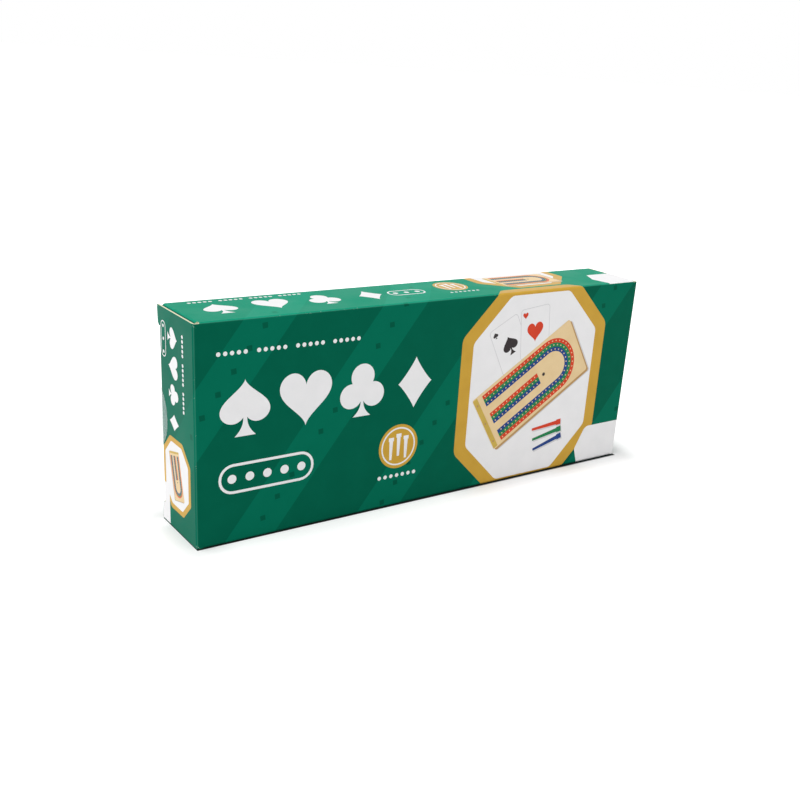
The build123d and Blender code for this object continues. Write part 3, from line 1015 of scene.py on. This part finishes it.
def sealMaterial():
    # the film is nearly clear where it bends round the corner and has no card close behind it
    material, shader, where = newMaterial("sealFilm")
    x, y = splitPoint(where)[:2]
    cloud = noise(where, 14.0, 1.0)
    colourIn(shader, mixColour(cloud, sealLook["film"], sealLook["cloud"]))
    inX = minus(half, size(x))
    inY = minus(back, y)
    onCard = step(calc("MAXIMUM", inX, inY), *sealLook["bend"])
    shown = plus(sealLook["atBend"], times(onCard, sealLook["opacity"] - sealLook["atBend"]))
    alpha = times(shown, plus(0.92, times(cloud, 0.12)))
    plug(shader, {"Alpha": alpha, "Specular IOR Level": 0.15})
    roughen(shader, 0.16, 0.24, noise(where, 11.0, 1.0))
    return material


sealFilm = sealMaterial()
for side in ("left", "right"):
    dress(side + "_seal_end_part", sealFilm)
    dress(side + "_seal_back_part", sealFilm)


# wooden board halves, with three painted lanes on their outer faces

board = {
    "hingeEndX": 118.3,
    "bottomZ": 0.9,
    "length": 240.0,
    "width": 104.5,
    "middleY": -0.9,
    "faceOffset": 17.6,
    "laneWidth": 7.3,
    "topTrack": 89.0,  # heights of the tracks' middles above the board's lower edge
    "middleTrack": 53.9,
    "bottomTrack": 12.6,
    "smallTurnReach": 193.1,
    "longTurnReach": 234.0,
    "frontTopEnd": 138.0,
    "startBlock": (152.0, 180.0),
    "stripAt": 211.9,
    "stripLanePitch": 10.4,
    "stripMargin": 4.0,
    "finishEnd": 94.0,
}

boardLook = {
    "pale": srgb(226, 196, 152),
    "deep": srgb(196, 156, 106),
    "endGrain": srgb(186, 146, 100),
    "endPale": srgb(206, 170, 122),
    "pore": srgb(140, 102, 64),
    "outerLane": srgb(196, 52, 34),
    "middleLane": srgb(28, 118, 66),
    "innerLane": srgb(28, 58, 122),
    "roughness": (0.34, 0.52),
}


def woodColour(where, normal, shift):
    # growth lines run the board's length; on the end faces they show as arcs with open pores
    shifted = vectorCalc("ADD", where, (shift * 37.0, shift * 11.0, shift * 5.0))
    bent = noise(stretched(shifted, (0.010, 0.05, 0.05)), 1.0, 2.0)
    y, z = splitPoint(shifted)[1:]
    ring = plus(plus(times(z, 0.11), times(y, 0.42)), times(bent, 5.0))
    growth = fromMiddle(ring, 1.0)
    grain = noise(stretched(shifted, (0.06, 1.4, 1.4)), 1.0, 3.0, 0.6)
    streaks = plus(times(growth, 0.9), times(minus(grain, 0.5), 0.9))
    face = mixColour(step(streaks, 0.0, 0.75), boardLook["pale"], boardLook["deep"])
    pores = step(noise(stretched(shifted, (0.3, 2.6, 2.6)), 1.0, 2.0), 0.62, 0.70)
    face = mixColour(times(pores, 0.35), face, boardLook["pore"])
    end = mixColour(step(growth, 0.0, 0.5), boardLook["endGrain"], boardLook["endPale"])
    end = mixColour(times(pores, 0.6), end, boardLook["pore"])
    return mixColour(facesAlong(normal[0], 0.75, 0.90), face, end), grain


def laneOffset(u, v, high, low, reach):
    # how far out from the middle of a turning track a point lies
    middle, radius = (high + low) / 2, (high - low) / 2
    centre = reach - radius - 1.5 * board["laneWidth"]
    up = minus(v, middle)
    past = calc("MAXIMUM", minus(u, centre), 0.0)
    return minus(lengthOf(past, up), radius)


def paintLanes(colour, offset, inside):
    # three lanes side by side; offset counts from the middle of the green one
    edge = board["laneWidth"] / 2
    lanes = boardLook["innerLane"]
    for place, lane in ((-edge, "middleLane"), (edge, "outerLane")):
        lanes = mixColour(step(offset, place - 0.1, place + 0.1), lanes, boardLook[lane])
    painted = times(below(size(offset), 3 * edge, 0.12), inside)
    return mixColour(painted, colour, lanes), painted


def between(value, low, high):
    return below(size(minus(value, (low + high) / 2)), (high - low) / 2, 0.12)


def boardMaterial(name, facing, shift):
    material, shader, where = newMaterial(name)
    x, y, z = splitPoint(where)
    normal = facedWay(shader)
    colour, grain = woodColour(where, normal, shift)
    u = minus(board["hingeEndX"], x)
    v = minus(z, board["bottomZ"])
    faceY = board["middleY"] + facing * board["faceOffset"]
    onPlane = below(size(minus(y, faceY)), 0.05, 0.02)
    outerFace = times(onPlane, step(times(normal[1], facing), 0.90, 0.97))
    if facing < 0:
        high, middle, low = board["topTrack"], board["middleTrack"], board["bottomTrack"]
        tracks = [
            (laneOffset(u, v, middle, low, board["smallTurnReach"]), 1.0),
            (minus(v, high), between(u, 0.0, board["frontTopEnd"])),
            (minus(v, high), between(u, *board["startBlock"])),
            (times(minus(u, board["stripAt"]), board["laneWidth"] / board["stripLanePitch"]),
             between(v, board["stripMargin"], board["width"] - board["stripMargin"])),
        ]
    else:
        tracks = [
            (laneOffset(u, v, board["topTrack"], board["bottomTrack"], board["longTurnReach"]), 1.0),
            (minus(v, board["middleTrack"]), between(u, 0.0, board["finishEnd"])),
        ]
    paint = 0.0
    for offset, inside in tracks:
        colour, painted = paintLanes(colour, offset, times(outerFace, inside))
        paint = calc("MAXIMUM", paint, painted)
    colourIn(shader, colour)
    roughen(shader, *boardLook["roughness"], grain)
    bump(shader, times(grain, minus(1.0, times(paint, 0.7))), 0.35, 0.05)
    return material


dress("front_board_half", boardMaterial("frontBoardWood", -1, 0.0))
dress("back_board_half", boardMaterial("backBoardWood", 1, 1.7))


# brass hinge and screws, steel pin

metalLook = {
    "leafBrass": (srgb(214, 176, 92), srgb(184, 142, 62)),
    "screwBrass": (srgb(208, 168, 84), srgb(170, 130, 58)),
    "steel": (srgb(176, 178, 182), srgb(142, 144, 148)),
}


def metalMaterial(name, colours, brushing):
    # rolled or drawn metal: fine lines along one axis and a few dull patches
    material, shader, where = newMaterial(name)
    lines = noise(stretched(where, brushing), 1.0, 3.0, 0.6)
    dull = step(noise(where, 6.0, 3.0), 0.45, 0.75)
    colourIn(shader, mixColour(dull, *colours))
    plug(shader, {"Metallic": 1.0})
    roughen(shader, 0.22, 0.46, plus(times(lines, 0.6), times(dull, 0.4)))
    bump(shader, lines, 0.3, 0.01)
    return material


leafBrass = metalMaterial("leafBrass", metalLook["leafBrass"], (6.0, 6.0, 0.15))
screwBrass = metalMaterial("screwBrass", metalLook["screwBrass"], (4.0, 4.0, 4.0))
for place in ("front", "back"):
    dress(place + "_hinge_leaf", leafBrass)
    dress(place + "_leaf_screws", screwBrass)
dress("hinge_pin", metalMaterial("pinSteel", metalLook["steel"], (5.0, 5.0, 0.2)))


# moulded plastic pegs

pegLook = {
    "red": (srgb(196, 36, 30), srgb(176, 28, 24)),
    "green": (srgb(22, 124, 62), srgb(16, 104, 52)),
    "blue": (srgb(26, 62, 148), srgb(20, 50, 124)),
}


def pegMaterial(name, colours):
    material, shader, where = newMaterial(name)
    flow = noise(stretched(where, (0.12, 0.8, 0.8)), 1.0, 2.0)
    colourIn(shader, mixColour(flow, *colours))
    roughen(shader, 0.20, 0.34, noise(where, 1.5, 3.0))
    plug(shader, {"Subsurface Weight": 0.05})
    bump(shader, noise(where, 0.9, 2.0), 0.2, 0.02)
    return material


for colour, shades in pegLook.items():
    dress(colour + "_pegs", pegMaterial(colour + "PegPlastic", shades))


# deck of cards: a lattice back with a pale margin, and the cards' edges, with painted shade between the
# cards

deck = {
    "centre": (-59.5, 51.9),
    "size": (88.9, 63.5),
    "margin": 4.0,
    "cardThickness": 0.32,
    "lattice": 5.0,
    "back": (srgb(34, 58, 124), srgb(222, 224, 232)),
    "paper": (srgb(236, 234, 228), srgb(228, 226, 219)),
    "edge": (srgb(232, 228, 216), srgb(176, 170, 156)),
}


def deckMaterial():
    material, shader, where = newMaterial("cardDeck")
    x, y, z = splitPoint(where)
    normal = facedWay(shader)
    u, v = minus(x, deck["centre"][0]), minus(z, deck["centre"][1])
    inU = below(size(u), deck["size"][0] / 2 - deck["margin"], 0.08)
    inV = below(size(v), deck["size"][1] / 2 - deck["margin"], 0.08)
    rising = fromMiddle(plus(u, v), deck["lattice"])
    falling = fromMiddle(minus(u, v), deck["lattice"])
    lines = below(calc("MINIMUM", rising, falling), 0.55, 0.12)
    knots = below(plus(rising, falling), 1.1, 0.12)
    lattice = mixColour(knots, mixColour(lines, *deck["back"]), deck["back"][0])
    paper = mixColour(noise(where, 4.0, 3.0), *deck["paper"])
    face = mixColour(times(inU, inV), paper, lattice)
    # the darker lines where one card meets the next are painted shade in the gaps between the cards
    layer = fromMiddle(y, deck["cardThickness"])
    uneven = noise(stretched(where, (0.05, 3.0, 0.05)), 1.0, 2.0)
    gap = step(plus(layer, times(uneven, 0.06)), 0.13, 0.18)
    onFace = facesAlong(normal[1], 0.80, 0.95)
    colourIn(shader, mixColour(onFace, mixColour(gap, *deck["edge"]), face))
    roughen(shader, 0.30, 0.42, noise(where, 8.0))
    bump(shader, times(gap, minus(onFace, 1.0)), 0.5, 0.05)
    return material


dress("card_deck", deckMaterial())


leaflet = {
    "middleZ": 49.4,
    "border": (64.0, 64.8),  # edges of the printed line, from the middle of the sheet along x
    "taller": 22.0,  # how much less the line stands off the middle along z
    "foldX": 35.0,
    "paper": (srgb(236, 235, 230), srgb(224, 223, 217)),
    "ink": srgb(16, 110, 84),
    "foldShade": srgb(190, 188, 182),
}


def leafletMaterial():
    # thin paper, folded, with a printed border
    material, shader, where = newMaterial("leafletPaper")
    x, z = splitPoint(where)[::2]
    fibres = noise(where, 0.7, 4.0, 0.7)
    away = calc("MAXIMUM", size(x), plus(size(minus(z, leaflet["middleZ"])), leaflet["taller"]))
    border = between(away, *leaflet["border"])
    colour = mixColour(times(border, 0.7), mixColour(fibres, *leaflet["paper"]), leaflet["ink"])
    crease = below(size(minus(size(x), leaflet["foldX"])), 0.4, 0.3)
    colourIn(shader, mixColour(times(crease, 0.3), colour, leaflet["foldShade"]))
    roughen(shader, 0.62, 0.78, fibres)
    bump(shader, plus(times(fibres, 0.02), times(crease, -0.2)), 0.5, 0.3)
    return material


dress("rules_leaflet", leafletMaterial())
print("board, hinge, pegs, cards and seals dressed")


# what stands round the object: floor, light and camera

studio = {
    "floorSize": 30.0,  # metres
    "paper": 0.82,
    "paintedContactShadow": (0.012, 0.016, 0.016, 1.0),
    "floorGlow": 0.48,
    "nearGlow": (0.06, 0.36),  # at the carton's foot: beside it, and where its own shade falls, there as painted light that lightens the shade
    "shade": (-140.0, -115.0, 0.0, 45.0),  # that shade fades in and out along the carton between these
    "glowGap": 24.0,  # the glow grows to its full level over this distance from the foot
    "contact": (0.8, 2.4),  # width of the painted shadow line under the foot, at the left and right ends
    "contactCore": 0.35,  # share of that width that is fully dark
    "endNarrow": 5.0,  # the line is this much narrower past the carton's ends
    "floorFade": (350.0, 1100.0),  # distances over which the paper runs out to pure white
    "worldLight": 0.50,
    "upperLight": {"from": (-0.58, 0.10, 0.80), "strength": 2.1, "softness": 70.0},
    "frontLight": {"from": (0.30, -0.80, 0.50), "strength": 0.62, "softness": 80.0},
}


def softSun(name, look):
    data = bpy.data.lights.new(name, "SUN")
    data.energy = look["strength"]
    data.angle = math.radians(look["softness"])
    lamp = addObject(name, data)
    lamp.rotation_euler = Vector(look["from"]).to_track_quat("Z", "Y").to_euler()
    lamp.location = Vector(look["from"])


def seenDirectly(shader):
    # 1 for what the camera sees, directly or in a reflection or through glass
    rays = newNode(shader, "LightPath", {})
    either = calc("MAXIMUM", rays["Is Camera Ray"], rays["Is Glossy Ray"])
    return calc("MAXIMUM", either, rays["Is Transmission Ray"])


def footDistances(x, y):
    # how far a point of the floor lies past the carton's ends and past its sides
    pastEnd = calc("MAXIMUM", minus(size(x), half), 0.0)
    pastSide = calc("MAXIMUM", minus(size(minus(y, middleY)), depth / 2), 0.0)
    return pastEnd, pastSide


def floorMaterial():
    # pale paper with a painted shadow line where the carton stands; its glow for the camera whitens the
    # paper, is weaker near the foot so the carton's cast shade shows, and is stronger along the stretch
    # where that shade falls, painted light that lightens the shade there
    material, shader, where = newMaterial("studioPaper")
    x, y = splitPoint(where)[:2]
    pastEnd, pastSide = footDistances(x, y)
    left, right = studio["contact"]
    across = step(x, -1.4 * half, 1.2 * half)
    reach = plus(left, times(across, right - left))
    away = lengthOf(times(pastEnd, studio["endNarrow"]), pastSide)
    clear = step(away, times(reach, studio["contactCore"]), reach)
    # along the stretch where the carton's shade falls, the glow near the foot is higher: painted light that
    # lightens that shade
    fadeIn, full, fadeOut, gone = studio["shade"]
    inShade = times(step(x, fadeIn, full), step(x, gone, fadeOut))
    low, high = studio["nearGlow"]
    near = plus(low, times(inShade, high - low))
    grown = step(lengthOf(pastEnd, pastSide), 0.0, studio["glowGap"])
    glow = plus(near, times(grown, minus(studio["floorGlow"], near)))
    far = step(lengthOf(x, y), *studio["floorFade"])
    glow = times(plus(glow, times(far, minus(1.0, glow))), clear)
    paper = (studio["paper"], studio["paper"], studio["paper"], 1.0)
    # the dark paint by the foot is a painted contact shadow
    colourIn(shader, mixColour(clear, studio["paintedContactShadow"], paper))
    shown = times(seenDirectly(shader), glow)
    plug(shader, {"Emission Color": (1.0, 1.0, 1.0, 1.0), "Emission Strength": shown})
    plug(shader, {"Roughness": 0.85, "Specular IOR Level": 0.1})
    return material


def makeFloor():
    build = bmesh.new()
    bmesh.ops.create_grid(build, x_segments=2, y_segments=2, size=studio["floorSize"])
    floor = addMesh("studioFloor", build, floorMaterial())


def makeWorld():
    world = bpy.data.worlds.new("studioWorld")
    bpy.context.scene.world = world
    world.use_nodes = True
    background = world.node_tree.nodes["Background"]
    extra = times(seenDirectly(background), 1.0 - studio["worldLight"])
    plug(background, {"Color": (1.0, 1.0, 1.0, 1.0), "Strength": plus(extra, studio["worldLight"])})


makeFloor()
makeWorld()
softSun("upperLight", studio["upperLight"])
softSun("frontLight", studio["frontLight"])

view = {
    "azimuth": -36.822,
    "elevation": 21.272,
    "roll": 3.941,
    "distance": 520.81,
    "target": (-12.595, -20.2, 28.056),
    "focalPixels": 993.48,
    "shift": (-0.0236, 0.0637),
    "frame": 800,
    "sensor": 36.0,
}


def makeCamera():
    azimuth, elevation, roll = (math.radians(view[turn]) for turn in ("azimuth", "elevation", "roll"))
    level = math.cos(elevation)
    away = Vector((math.sin(azimuth) * level, -math.cos(azimuth) * level, math.sin(elevation)))
    right = (-away).cross(Vector((0, 0, 1))).normalized()
    up = right.cross(-away)
    rolledRight = right * math.cos(roll) + up * math.sin(roll)
    rolledUp = up * math.cos(roll) - right * math.sin(roll)
    data = bpy.data.cameras.new("productCamera")
    data.sensor_width = view["sensor"]
    data.lens = view["focalPixels"] / view["frame"] * view["sensor"]
    data.shift_x, data.shift_y = view["shift"]
    data.clip_start = 0.01
    camera = addObject("productCamera", data)
    turned = Matrix((rolledRight, rolledUp, away)).transposed().to_4x4()
    turned.translation = (Vector(view["target"]) + away * view["distance"]) * mm
    camera.matrix_world = turned
    bpy.context.scene.camera = camera


makeCamera()
bpy.context.scene.view_settings.view_transform = "Standard"
print("studio and camera set")
